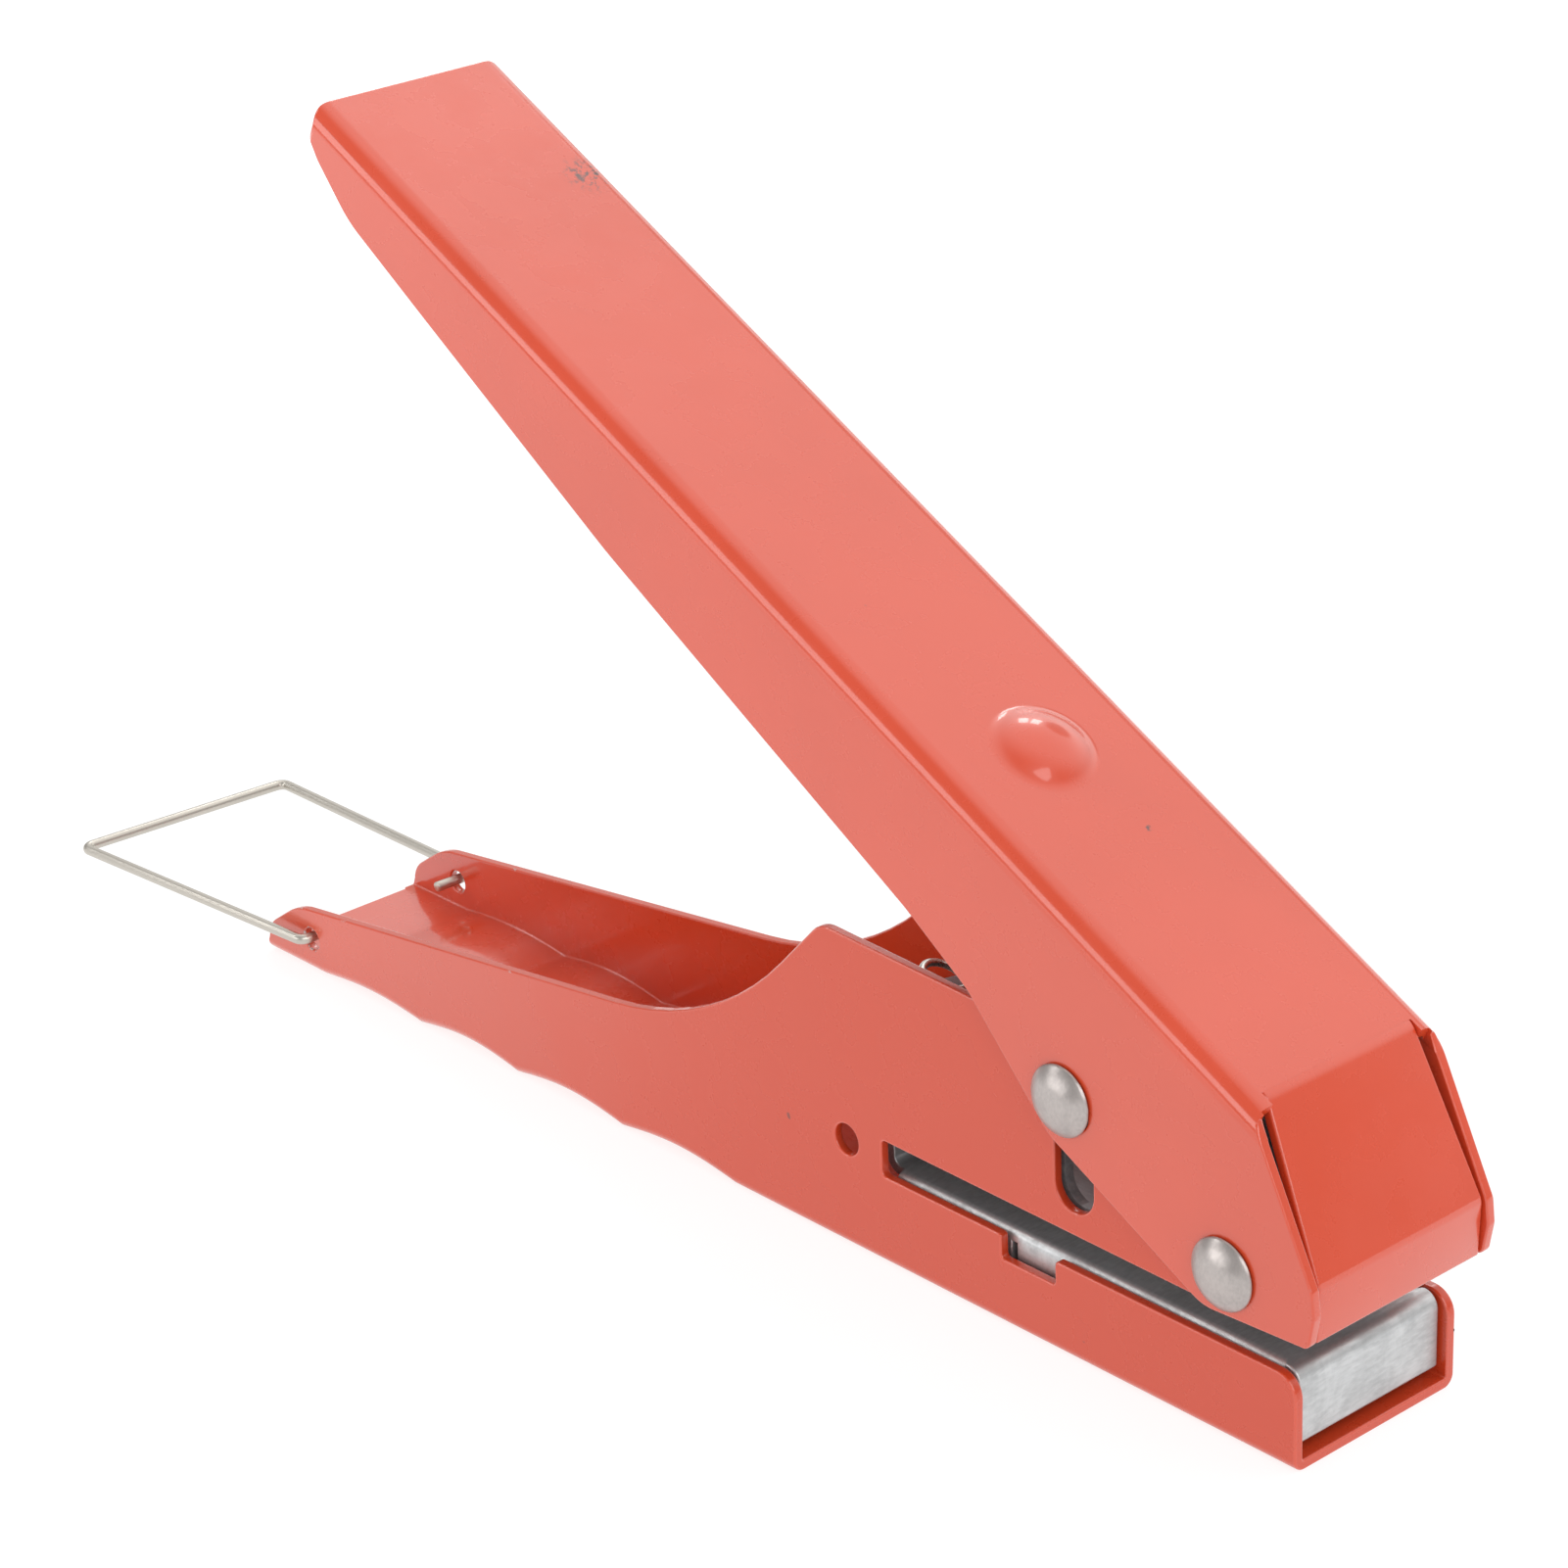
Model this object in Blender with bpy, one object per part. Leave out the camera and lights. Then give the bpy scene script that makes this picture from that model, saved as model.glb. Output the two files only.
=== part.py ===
"""Hand press with a deep throat, made of folded sheet steel.

A U-shaped base frame carries the lower jaw, the upper jaw and the grip.  An
inverted U-shaped lever turns on a rivet through the nose of the upper jaw.  A
second rivet runs in upright slots of the upper jaw and drives a round punch
down into a die.  A coil spring opens the lever, and a wire bail on the tail of
the frame swings over the lever to hold it shut.

Units: the drawing dimensions below are millimetres; MM turns them into metres.
Drawing frame: x = 0 at the front end of the lower jaw, +x forwards, y = 0 in
the middle of the frame, z = 0 a little above the underside (FLOOR_DROP).  The
whole tool hangs from one empty that moves the drawing frame so that the origin
is at the centre of the bounding box, on the ground.
"""
import math

import bmesh
import bpy
import numpy as np
from mathutils import Matrix, Vector

for old in list(bpy.data.objects):
    bpy.data.objects.remove(old, do_unlink=True)

MM = 0.001

# ------------------------------------------------------------- dimensions
ORIGIN_SHIFT = 85.75         # drawing x = 0 stands this far in front of the origin

SHEET = 1.0                  # thickness of frame, lever, guide and die sheet
FRAME_HALF = 10.1            # outer half width of the frame
FRAME_BEND = 1.2             # outer bend radius of the frame
FLOOR_DROP = 0.3             # underside of the frame, below the drawing's z = 0
TAIL_X = -143.95              # tip of the frame's tail ears
FLOOR_TAIL_X = -143.6        # rear end of the frame's floor
JAW_TOP = 8.85               # upper edge of the lower jaw's walls
THROAT_REAR = -49.8
THROAT_TOP_REAR = 12.5
THROAT_TOP_FRONT = 12.1
UPPER_JAW_FRONT = -2.3
HUMP_TOP = 31.6 

# Finger grooves pressed up into the grip's floor: ends in x, and depth.
GROOVES = ((-134.5, -118.5, 0.6), (-118.5, -103.0, 0.85), (-103.0, -87.0, 0.85),
           (-87.0, -70.5, 0.8))

PIVOT = (-6.93, 16.73)       # lever hinge, in x and z
OPEN_ANGLE = 27.5            # slope of the open lever, degrees
PIN_X = -25.55               # drive rivet, in x and z, with the lever open
PIN_Z = 26.03
SLOT_HALF = 2.3              # half width of the drive slot in the frame
SLOT_BOTTOM = 14.6
SLOT_TOP = 28.5

LEVER_HALF = 11.4            # outer half width of the lever
LEVER_BEND = 2.2
LEVER_TOP = 15.77            # top plate above the hinge axis, lever level
LEVER_TAIL = -138.7          # rear end, measured along the lever from the hinge
FOLD_X = -5.3                # where the top plate folds down into the nose
FLAP_HALF = 10.1
DIMPLE_X = -43.9
DIMPLE_R = 4.5
DIMPLE_H = 1.5

SHANK_R = 2.0                # pivot rivet shank
PIN_R = 1.25                 # drive rivet shank
HEAD_R = 3.35
HEAD_H = 1.3
RUN = 0.10                   # radial running clearance
GAP = 0.3                    # gap between neighbours that touch in the real tool

PUNCH_R = 3.0
PUNCH_TIP = 12.85
PUNCH_TOP = 30.2
ROLLER_R = 2.15

DIE_HALF = 8.8
DIE_TOP = 8.9
DIE_FRONT = -0.75
DIE_REAR = -51.6
DIE_BEND = 1.0
NOTCH = (-34.6, -28.0, 6.45)  # rear end, front end, bottom

GUIDE_HALF = 8.7
GUIDE_FLOOR = 12.55          # underside of the punch guide's floor
GUIDE_REAR = -63.0
GUIDE_FRONT = -3.3
GUIDE_TOP = 24.0

SPRING_FOOT = (-55.6, 14.4)
SPRING_WIRE_R = 0.4
SPRING_R = 2.9
SPRING_TURNS = 10

BAIL_PIVOT = (-136.2, 3.75)
BAIL_HOLE = (-136.1, 3.5)     # the wire sits to one side of its hole
BAIL_HOLE_R = 1.2
BAIL_WIRE_R = 0.5
BAIL_ARM_Y = 11.2            # half width of the bail beside the frame
BAIL_NEAR = (-174.6, -13.3)  # near rear corner, in x and y
BAIL_FAR = (-172.6, 13.25)   # far rear corner
BAIL_BAR_Z = 2.7
BAIL_TIP_Y = 6.5

ROUND_N = 32                 # facets of a full circle


# ---------------------------------------------------------------- helpers
def rounded(corners, step=12.0):
    """Polygon through corners (x, z, radius), each corner filleted."""
    out = []
    n = len(corners)
    for i, (x, z, r) in enumerate(corners):
        p = Vector((x, z))
        a = Vector(corners[i - 1][:2])
        b = Vector(corners[(i + 1) % n][:2])
        if r <= 0:
            out.append((p.x, p.y))
            continue
        u = (a - p).normalized()
        v = (b - p).normalized()
        half = u.angle(v) / 2
        t = min(r / math.tan(half), 0.98 * (a - p).length, 0.98 * (b - p).length)
        rr = t * math.tan(half)
        centre = p + (u + v).normalized() * (rr / math.sin(half))
        start = p + u * t - centre
        turn = math.pi - 2 * half
        sign = 1.0 if (-u).cross(v) > 0 else -1.0
        k = max(2, int(math.ceil(math.degrees(turn) / step)))
        for j in range(k + 1):
            q = Matrix.Rotation(sign * turn * j / k, 2) @ start + centre
            out.append((q.x, q.y))
    return out


def new_object(name, bm, smooth=40.0):
    bmesh.ops.recalc_face_normals(bm, faces=bm.faces)
    mesh = bpy.data.meshes.new(name)
    bm.to_mesh(mesh)
    bm.free()
    if smooth:
        mesh.shade_smooth()
        mesh.set_sharp_from_angle(angle=math.radians(smooth))
    obj = bpy.data.objects.new(name, mesh)
    bpy.context.scene.collection.objects.link(obj)
    return obj


def loft(name, rings, smooth=40.0):
    """Closed body through rings of points in mm, with flat ends."""
    bm = bmesh.new()
    loops = [[bm.verts.new(Vector(p) * MM) for p in ring] for ring in rings]
    n = len(loops[0])
    for a, b in zip(loops[:-1], loops[1:]):
        for i in range(n):
            bm.faces.new((a[i], a[(i + 1) % n], b[(i + 1) % n], b[i]))
    bm.faces.new(loops[0])
    bm.faces.new(loops[-1])
    return new_object(name, bm, smooth)


def prism(name, outline, y0, y1):
    """Outline in x and z, extruded from y0 to y1."""
    return loft(name, [[(x, y, z) for x, z in outline] for y in (y0, y1)])


def slab(name, outline, z0, z1):
    """Outline in x and y, extruded from z0 to z1."""
    return loft(name, [[(x, y, z) for x, y in outline] for z in (z0, z1)])


def circle(cx, cz, r, n=ROUND_N):
    return [(cx + r * math.cos(2 * math.pi * i / n), cz + r * math.sin(2 * math.pi * i / n))
            for i in range(n)]


def stadium(cx, z0, z1, r, n=ROUND_N):
    """Upright slot of half width r between z0 and z1."""
    top = [(cx + r * math.cos(math.pi * i / (n // 2)), z1 - r + r * math.sin(math.pi * i / (n // 2)))
           for i in range(n // 2 + 1)]
    low = [(cx - r * math.cos(math.pi * i / (n // 2)), z0 + r - r * math.sin(math.pi * i / (n // 2)))
           for i in range(n // 2 + 1)]
    return top + low


def turned(name, cx, cz, profile, bore=None, n=ROUND_N, axis="Y"):
    """Body of revolution.  profile is a list of (position, radius) along the
    axis; bore is the radius of a hole right through it."""
    bm = bmesh.new()

    def ring(pos, r):
        vs = []
        for i in range(n):
            a = 2 * math.pi * i / n
            if axis == "Y":
                p = (cx + r * math.cos(a), pos, cz + r * math.sin(a))
            else:
                p = (cx + r * math.cos(a), cz + r * math.sin(a), pos)
            vs.append(bm.verts.new(Vector(p) * MM))
        return vs

    rows = [ring(p, r) for p, r in profile]
    if bore:
        rows += [ring(profile[-1][0], bore), ring(profile[0][0], bore)]
        rows.append(rows[0])
    for a, b in zip(rows[:-1], rows[1:]):
        for i in range(n):
            bm.faces.new((a[i], a[(i + 1) % n], b[(i + 1) % n], b[i]))
    if not bore:
        bm.faces.new(rows[0])
        bm.faces.new(rows[-1])
    return new_object(name, bm)


def wire(name, points, r, sides=10):
    """Round wire along points in mm, with flat ends."""
    pts = [Vector(p) for p in points]
    rings = []
    normal = None
    for i, p in enumerate(pts):
        a = pts[max(i - 1, 0)]
        b = pts[min(i + 1, len(pts) - 1)]
        t = (b - a).normalized()
        if normal is None:
            normal = t.orthogonal().normalized()
        normal = (normal - t * normal.dot(t)).normalized()
        other = t.cross(normal)
        rings.append([p + (normal * math.cos(2 * math.pi * k / sides)
                           + other * math.sin(2 * math.pi * k / sides)) * r
                      for k in range(sides)])
    return loft(name, rings, smooth=60.0)


def bend_path(corners, step=15.0):
    """3-D polyline through corners (point, bend radius)."""
    out = [Vector(corners[0][0])]
    for i in range(1, len(corners) - 1):
        p = Vector(corners[i][0])
        a = Vector(corners[i - 1][0])
        b = Vector(corners[i + 1][0])
        r = corners[i][1]
        u = (a - p).normalized()
        v = (b - p).normalized()
        half = u.angle(v) / 2
        t = r / math.tan(half)
        centre = p + (u + v).normalized() * (r / math.sin(half))
        s = p + u * t - centre
        e = p + v * t - centre
        k = max(2, int(math.ceil(math.degrees(math.pi - 2 * half) / step)))
        for j in range(k + 1):
            q = s.slerp(e, j / k)
            out.append(centre + q)
    out.append(Vector(corners[-1][0]))
    return out


def combine(obj, tools, operation="DIFFERENCE"):
    """Boolean obj with each tool, keep the result, drop the tools."""
    for tool in tools:
        mod = obj.modifiers.new(tool.name, "BOOLEAN")
        mod.operation = operation
        mod.object = tool
        mod.solver = "EXACT"
    bpy.context.view_layer.update()
    graph = bpy.context.evaluated_depsgraph_get()
    mesh = bpy.data.meshes.new_from_object(obj.evaluated_get(graph))
    old = obj.data
    obj.modifiers.clear()
    obj.data = mesh
    bpy.data.meshes.remove(old)
    for tool in tools:
        bpy.data.objects.remove(tool, do_unlink=True)
    bm = bmesh.new()
    bm.from_mesh(mesh)
    bmesh.ops.remove_doubles(bm, verts=bm.verts, dist=1e-6)
    bmesh.ops.dissolve_degenerate(bm, dist=1e-7, edges=bm.edges)
    bm.to_mesh(mesh)
    bm.free()
    mesh.shade_smooth()
    mesh.set_sharp_from_angle(angle=math.radians(40))
    return obj


def material(name, colour, rough, metal, coat=0.0):
    mat = bpy.data.materials.new(name)
    mat.use_nodes = True
    bsdf = mat.node_tree.nodes["Principled BSDF"]
    bsdf.inputs["Base Color"].default_value = (*colour, 1.0)
    bsdf.inputs["Roughness"].default_value = rough
    bsdf.inputs["Metallic"].default_value = metal
    bsdf.inputs["Coat Weight"].default_value = coat
    return mat


PAINT = (0.70, 0.11, 0.075)
ZINC = (0.62, 0.63, 0.64)
NICKEL = (0.74, 0.71, 0.66)
TOOL_STEEL = (0.42, 0.42, 0.43)


def finish(obj, colour, rough, metal, coat=0.0, parent=None):
    obj.data.materials.clear()
    obj.data.materials.append(material(obj.name + "_finish", colour, rough, metal, coat))
    obj.parent = parent
    return obj


def empty(name, location, parent=None):
    obj = bpy.data.objects.new(name, None)
    obj.empty_display_size = 0.01
    bpy.context.scene.collection.objects.link(obj)
    obj.parent = parent
    obj.location = location
    return obj


def channel_ring(x, half, floor, top, bend_top, bend, t, flip=1.0, seg=5):
    """U-shaped section at x.  The floor's outer face is at floor, the walls
    end at top, and the outer bend runs from the wall at bend_top to the floor.
    flip = -1 turns the section over."""
    outer, inner = [], []
    hy = half - bend
    hz = bend_top - floor
    for i in range(seg + 1):
        a = math.pi / 2 * i / seg
        outer.append((-(hy + bend * math.cos(a)), floor + hz * (1 - math.sin(a))))
        inner.append((-(hy + (bend - t) * math.cos(a)),
                      floor + t + (hz - t) * (1 - math.sin(a))))
    left = [(-half, top)] + outer
    ring = left + [(-y, z) for y, z in reversed(left)]
    left_in = [(-(half - t), top)] + inner
    ring += [(y, z) for y, z in [(-y, z) for y, z in left_in]]
    ring += list(reversed(left_in))
    return [(x, y, flip * z) for y, z in ring]


# ------------------------------------------------------------------ empties
root = empty("tool", (ORIGIN_SHIFT * MM, 0, FLOOR_DROP * MM))
lever_axis = empty("lever_axis", (PIVOT[0] * MM, 0, PIVOT[1] * MM), root)
lever_axis.rotation_euler = (0, math.radians(OPEN_ANGLE), 0)
bail_axis = empty("bail_axis", (BAIL_PIVOT[0] * MM, 0, BAIL_PIVOT[1] * MM), root)
punch_axis = empty("punch_axis", (PIN_X * MM, 0, PIN_Z * MM), root)


# --------------------------------------------------------------- base frame
def groove(x):
    """Height of the grip's floor above the ground: shallow finger grooves."""
    for a, b, depth in GROOVES:
        if a < x < b:
            return depth * math.sin(math.pi * (x - a) / (b - a))
    return 0.0


def build_frame():
    stations = [TAIL_X - 0.4, -140.0]
    for a, b, depth in GROOVES:
        stations += [a + (b - a) * i / 8 for i in range(8)]
    stations += [GROOVES[-1][1], -50.0, 0.0]
    body = loft("base_frame", [
        channel_ring(x, FRAME_HALF, groove(x) - FLOOR_DROP, 36.0,
                     groove(x) - FLOOR_DROP + FRAME_BEND, FRAME_BEND, SHEET) for x in stations])

    far = 60.0
    over = rounded([
        (5.0, far, 0), (5.0, THROAT_TOP_FRONT, 0),
        (UPPER_JAW_FRONT, THROAT_TOP_FRONT, 4.5),
        (UPPER_JAW_FRONT, 17.6, 3.0), (-19.5, 30.3, 3.0),
        (-57.15, HUMP_TOP, 3.0), (-72.5, 15.3, 41.0), (-138.4, 6.5, 8.0),
        (-143.6, 2.9, 3.0), (TAIL_X, 0.4, 0.5), (TAIL_X + 1.35, -2.0, 0), (-160.0, -2.0, 0), (-160.0, far, 0)])
    # The same path as an upper cutter, and the throat with the tab notches.
    throat = rounded([
        (5.0, THROAT_TOP_FRONT, 0), (THROAT_REAR, THROAT_TOP_REAR, 0.3),
        (THROAT_REAR, JAW_TOP, 0.3), (NOTCH[0], JAW_TOP, 0.15), (NOTCH[0], NOTCH[2], 0.25),
        (NOTCH[1], NOTCH[2], 0.25), (NOTCH[1], JAW_TOP, 0.15),
        (0.0, JAW_TOP, 2.2), (0.0, 5.0, 0), (5.0, 5.0, 0)])
    tools = [
        prism("over", over, -14, 14),
        prism("throat", throat, -14, 14),
        prism("slots", stadium(PIN_X, SLOT_BOTTOM, SLOT_TOP, SLOT_HALF), -14, 14),
        prism("pivot_holes", circle(*PIVOT, SHANK_R + RUN), -14, 14),
        prism("side_holes", circle(-54.45, 10.8, 1.55, 20), -14, 14),
        prism("bail_holes", circle(*BAIL_HOLE, BAIL_HOLE_R, 20), -14, 14),
        slab("floor_end", [(-150, -7.9), (FLOOR_TAIL_X, -7.9), (FLOOR_TAIL_X, 7.9), (-150, 7.9)],
             -2, 3),
    ]
    combine(body, tools)
    return finish(body, PAINT, 0.25, 0.0, 0.5, root)


# -------------------------------------------------------------------- lever
def lever_outline():
    """Side view of the lever, level, with the hinge at the origin."""
    return rounded([
        (LEVER_TAIL, LEVER_TOP + 1, 0), (LEVER_TAIL, 13.0, 0.5), (-136.0, 11.2, 3.0),
        (-130.0, 8.6, 12.0), (-117.6, 7.2, 20.0), (-87.7, 3.95, 60.0), (-42.9, 1.3, 20.0),
        (-33.9, 0.1, 4.0), (-20.5, -4.7, 6.0), (-0.3, -4.8, 4.5),
        (9.9, 1.2, 0.8), (9.0, 4.2, 1.5), (7.75, 6.1, 1.5), (-2.9, 14.4, 0.0),
        (-4.2, 14.9, 0.0), (-4.2, LEVER_TOP + 1, 0)])


def build_lever():
    rings = [channel_ring(x, LEVER_HALF, -LEVER_TOP, 8.0, -LEVER_TOP + LEVER_BEND,
                          LEVER_BEND, SHEET, flip=-1.0) for x in (LEVER_TAIL - 2, 12.0)]
    body = loft("lever", rings)
    keep = prism("keep", lever_outline(), -14, 14)
    plan = slab("plan", rounded([
        (LEVER_TAIL, -LEVER_HALF - 0.02, 1.5), (14.0, -LEVER_HALF - 0.02, 0),
        (14.0, LEVER_HALF + 0.02, 0), (LEVER_TAIL, LEVER_HALF + 0.02, 1.5)]), -12, 20)
    combine(body, [keep, plan], "INTERSECT")

    # The top plate stops at the fold; the walls run on beside the nose.
    clear = prism("clear", [(FOLD_X - 0.6, 13.2), (14, -6), (14, 20), (FOLD_X - 0.6, 20)],
                  -FLAP_HALF - GAP, FLAP_HALF + GAP)
    combine(body, [clear])
    eps = 0.02
    nose = rounded([
        (FOLD_X - 4.0, LEVER_TOP - eps, 0), (FOLD_X, LEVER_TOP - eps, 1.6), (7.6, 6.0, 1.6),
        (9.75, 1.15, 0.0), (8.85, 0.75, 0.0), (6.78, 5.35, 0.6),
        (FOLD_X - 0.3, LEVER_TOP - SHEET + eps, 0.6), (FOLD_X - 4.0, LEVER_TOP - SHEET + eps, 0)])
    flap = prism("flap", nose, -FLAP_HALF, FLAP_HALF)
    big = (DIMPLE_R ** 2 + DIMPLE_H ** 2) / (2 * DIMPLE_H)

    def cap(name, r, h, base, drop):
        rr = (r ** 2 + h ** 2) / (2 * h)
        prof = [(base - drop, r)]
        for i in range(6):
            a = math.asin(r / rr) * (1 - i / 6)
            prof.append((base + rr * math.cos(a) - (rr - h), rr * math.sin(a)))
        prof.append((base + h, 0.25))
        return turned(name, DIMPLE_X, 0, prof, axis="Z", n=28)

    combine(body, [flap, cap("dome", DIMPLE_R, DIMPLE_H, LEVER_TOP, 0.4)], "UNION")
    # Elongated holes let the drive rivet stay upright below the heads.
    pin = (math.hypot(PIN_X - PIVOT[0], PIN_Z - PIVOT[1]))
    ang = math.atan2(PIN_Z - PIVOT[1], PIN_X - PIVOT[0]) + math.radians(OPEN_ANGLE)
    px, pz = pin * math.cos(ang), pin * math.sin(ang)
    r = PIN_R + 0.27
    drive = [(px - r * math.sin(t), pz - r * math.cos(t)) for t in np.linspace(0, math.pi, 12)]
    drive += [(px + 2.2 + r * math.sin(t), pz + r * math.cos(t)) for t in np.linspace(0, math.pi, 12)]
    combine(body, [cap("hollow", DIMPLE_R - 0.8, DIMPLE_H - 0.15, LEVER_TOP - SHEET, 0.5),
                   prism("hinge_holes", circle(0, 0, SHANK_R + RUN), -14, 14),
                   prism("drive_holes", drive, -14, 14)])
    return finish(body, PAINT, 0.25, 0.0, 0.5, lever_axis)


# ----------------------------------------------------------------- die side
def build_die():
    rings = [channel_ring(x, DIE_HALF, -DIE_TOP, -1.35, -DIE_TOP + DIE_BEND, DIE_BEND, SHEET * 0.999,
                          flip=-1.0, seg=3) for x in (-49.2, -2.3)]
    body = loft("die_channel", rings)
    slits = []
    for x in (NOTCH[0] + 0.05, NOTCH[1] - 0.65):
        slits.append(loft("slit", [[(x, y, z) for y, z in ((-12, -3), (12, -3), (12, 7.7), (-12, 7.7))],
                                   [(x + 0.6, y, z) for y, z in ((-12, -3), (12, -3), (12, 7.7), (-12, 7.7))]]))
    punch_hole = turned("hole", PIN_X, 0, [(3.0, 4.8), (12.0, 4.8)], axis="Z")
    combine(body, slits + [punch_hole])
    e = 0.02
    nose = rounded([
        (-5.0, DIE_TOP - e, 0), (DIE_FRONT, DIE_TOP - e, 1.3), (DIE_FRONT, 1.75, 0.0),
        (DIE_FRONT - SHEET, 1.75, 0.0), (DIE_FRONT - SHEET, DIE_TOP - SHEET + e, 0.4),
        (-5.0, DIE_TOP - SHEET + e, 0)])
    lip = rounded([
        (-46.0, DIE_TOP - e, 0), (DIE_REAR + SHEET, DIE_TOP - e, 0.8),
        (DIE_REAR + SHEET, 12.0, 0), (DIE_REAR, 12.0, 0), (DIE_REAR, DIE_TOP - SHEET + e, 1.6),
        (-46.0, DIE_TOP - SHEET + e, 0)])
    combine(body, [prism("nose", nose, -DIE_HALF, DIE_HALF), prism("lip", lip, -8.6, 8.6)], "UNION")
    finish(body, ZINC, 0.35, 1.0, parent=root)

    button = turned("die_button", PIN_X, 0, [(6.9, 4.5), (DIE_TOP - 0.25, 4.5), (DIE_TOP, 4.25)],
                    bore=PUNCH_R + RUN, axis="Z")
    finish(button, TOOL_STEEL, 0.3, 1.0, parent=root)


# --------------------------------------------------------------- upper jaw
def build_guide():
    rings = [channel_ring(x, GUIDE_HALF, GUIDE_FLOOR, GUIDE_TOP, GUIDE_FLOOR + 1.0, 1.0,
                          SHEET * 0.999, seg=3) for x in (GUIDE_REAR, GUIDE_FRONT)]
    body = loft("punch_guide", rings)
    trim = rounded([
        (0.0, 11.0, 0), (GUIDE_FRONT, 11.0, 0), (GUIDE_FRONT, 19.0, 3.0), (-12.0, GUIDE_TOP, 2.0),
        (-50.0, GUIDE_TOP, 3.0), (GUIDE_REAR, 17.0, 3.0), (GUIDE_REAR, 11.0, 0),
        (-70.0, 11.0, 0), (-70.0, 40.0, 0), (0.0, 40.0, 0)])
    combine(body, [
        prism("trim", trim, -12, 12),
        prism("slots", stadium(PIN_X, SLOT_BOTTOM - 0.1, 32.0, SLOT_HALF + 0.1), -12, 12),
        prism("pivot_holes", circle(*PIVOT, SHANK_R + 0.3), -12, 12),
        turned("punch_hole", PIN_X, 0, [(11.0, PUNCH_R + RUN), (14.2, PUNCH_R + RUN)], axis="Z"),
        turned("peg_hole", SPRING_FOOT[0], 0, [(11.0, 1.8), (14.2, 1.8)], axis="Z", n=20),
    ])
    finish(body, ZINC, 0.4, 1.0, parent=root)

    peg = turned("spring_peg", SPRING_FOOT[0], 0, [
        (GUIDE_FLOOR, 1.5), (GUIDE_FLOOR + SHEET + 0.3, 1.5), (GUIDE_FLOOR + SHEET + 0.3, 2.3),
        (GUIDE_FLOOR + SHEET + 1.6, 2.3), (GUIDE_FLOOR + SHEET + 2.2, 1.6)], axis="Z", n=20)
    finish(peg, NICKEL, 0.35, 1.0, parent=root)

    spacer = turned("pivot_spacer", *PIVOT, [(-7.4, 2.8), (7.4, 2.8)], bore=SHANK_R + RUN)
    finish(spacer, ZINC, 0.4, 1.0, parent=root)


def dome(y0, sign, r, h):
    """Profile of a rivet head from its rim at y0 outwards."""
    rr = (r ** 2 + h ** 2) / (2 * h)
    a0 = math.asin(r / rr)
    rows = [(y0, r - 0.15), (y0 + sign * 0.2, r)]
    for i in range(1, 6):
        a = a0 * (1 - i / 6)
        rows.append((y0 + sign * (0.2 + rr * math.cos(a) - (rr - h)), rr * math.sin(a)))
    rows.append((y0 + sign * (h + 0.2), 0.3))
    return rows


def rivet(name, cx, cz, shank, parent):
    y0 = LEVER_HALF + GAP
    far = dome(y0, 1, HEAD_R, HEAD_H)
    near = [(-y, r) for y, r in reversed(far)]
    body = turned(name, cx, cz, near + [(-y0, shank), (y0, shank)] + far)
    return finish(body, NICKEL, 0.28, 1.0, parent=parent)


def build_pins():
    rivet("pivot_rivet", *PIVOT, SHANK_R, root)
    # These three move with the punch, so they are drawn about its own empty.
    rivet("drive_rivet", 0, 0, PIN_R, punch_axis)
    for name, sign in (("drive_roller_near", -1), ("drive_roller_far", 1)):
        roller = turned(name, 0, 0, sorted([(sign * 3.4, ROLLER_R), (sign * 10.1, ROLLER_R)]),
                        bore=PIN_R + RUN, n=28)
        finish(roller, TOOL_STEEL, 0.35, 1.0, parent=punch_axis)
    punch = turned("punch", 0, 0, [
        (PUNCH_TIP - PIN_Z, PUNCH_R), (PUNCH_TOP - PIN_Z - 0.5, PUNCH_R),
        (PUNCH_TOP - PIN_Z, PUNCH_R - 0.5)], axis="Z")
    combine(punch, [prism("cross_hole", circle(0, 0, PIN_R + RUN), -6, 6)])
    finish(punch, TOOL_STEEL, 0.25, 1.0, parent=punch_axis)


# ------------------------------------------------------------ spring, bail
def build_spring():
    """Coil from the guide's floor up to the hollow under the lever's dimple."""
    a = math.radians(OPEN_ANGLE)
    top = Vector((PIVOT[0] + DIMPLE_X * math.cos(a) + (LEVER_TOP - 1.4) * math.sin(a), 0,
                  PIVOT[1] - DIMPLE_X * math.sin(a) + (LEVER_TOP - 1.4) * math.cos(a)))
    foot = Vector((SPRING_FOOT[0], 0, SPRING_FOOT[1]))
    up = (top - foot).normalized()
    side = Vector((0, 1, 0))
    cross = up.cross(side)
    length = (top - foot).length
    pts = []
    steps = 16
    closed = 1.0                     # one closed turn at each end
    lead = SPRING_WIRE_R * 2.15
    lean_up = Vector((0, 0, 1))
    for i in range(SPRING_TURNS * steps + 1):
        turn = i / steps
        if turn < closed:
            h = lead * turn
        elif turn > SPRING_TURNS - closed:
            h = length - lead * (SPRING_TURNS - turn)
        else:
            f = (turn - closed) / (SPRING_TURNS - 2 * closed)
            h = lead * closed + (length - 2 * lead * closed) * f
        ang = 2 * math.pi * turn
        # The first turns lie flat on the floor, the last flat against the lever.
        f = min(1.0, max(0.0, (h - 1.0) / 10.0))
        axis_x = cross.lerp(lean_up.cross(side), 1 - f).normalized()
        centre = foot + up * h
        pts.append(centre + side * SPRING_R * math.cos(ang) + axis_x * SPRING_R * math.sin(ang))
    spring = wire("return_spring", pts, SPRING_WIRE_R, sides=6)
    finish(spring, ZINC, 0.3, 1.0, parent=root)


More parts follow.
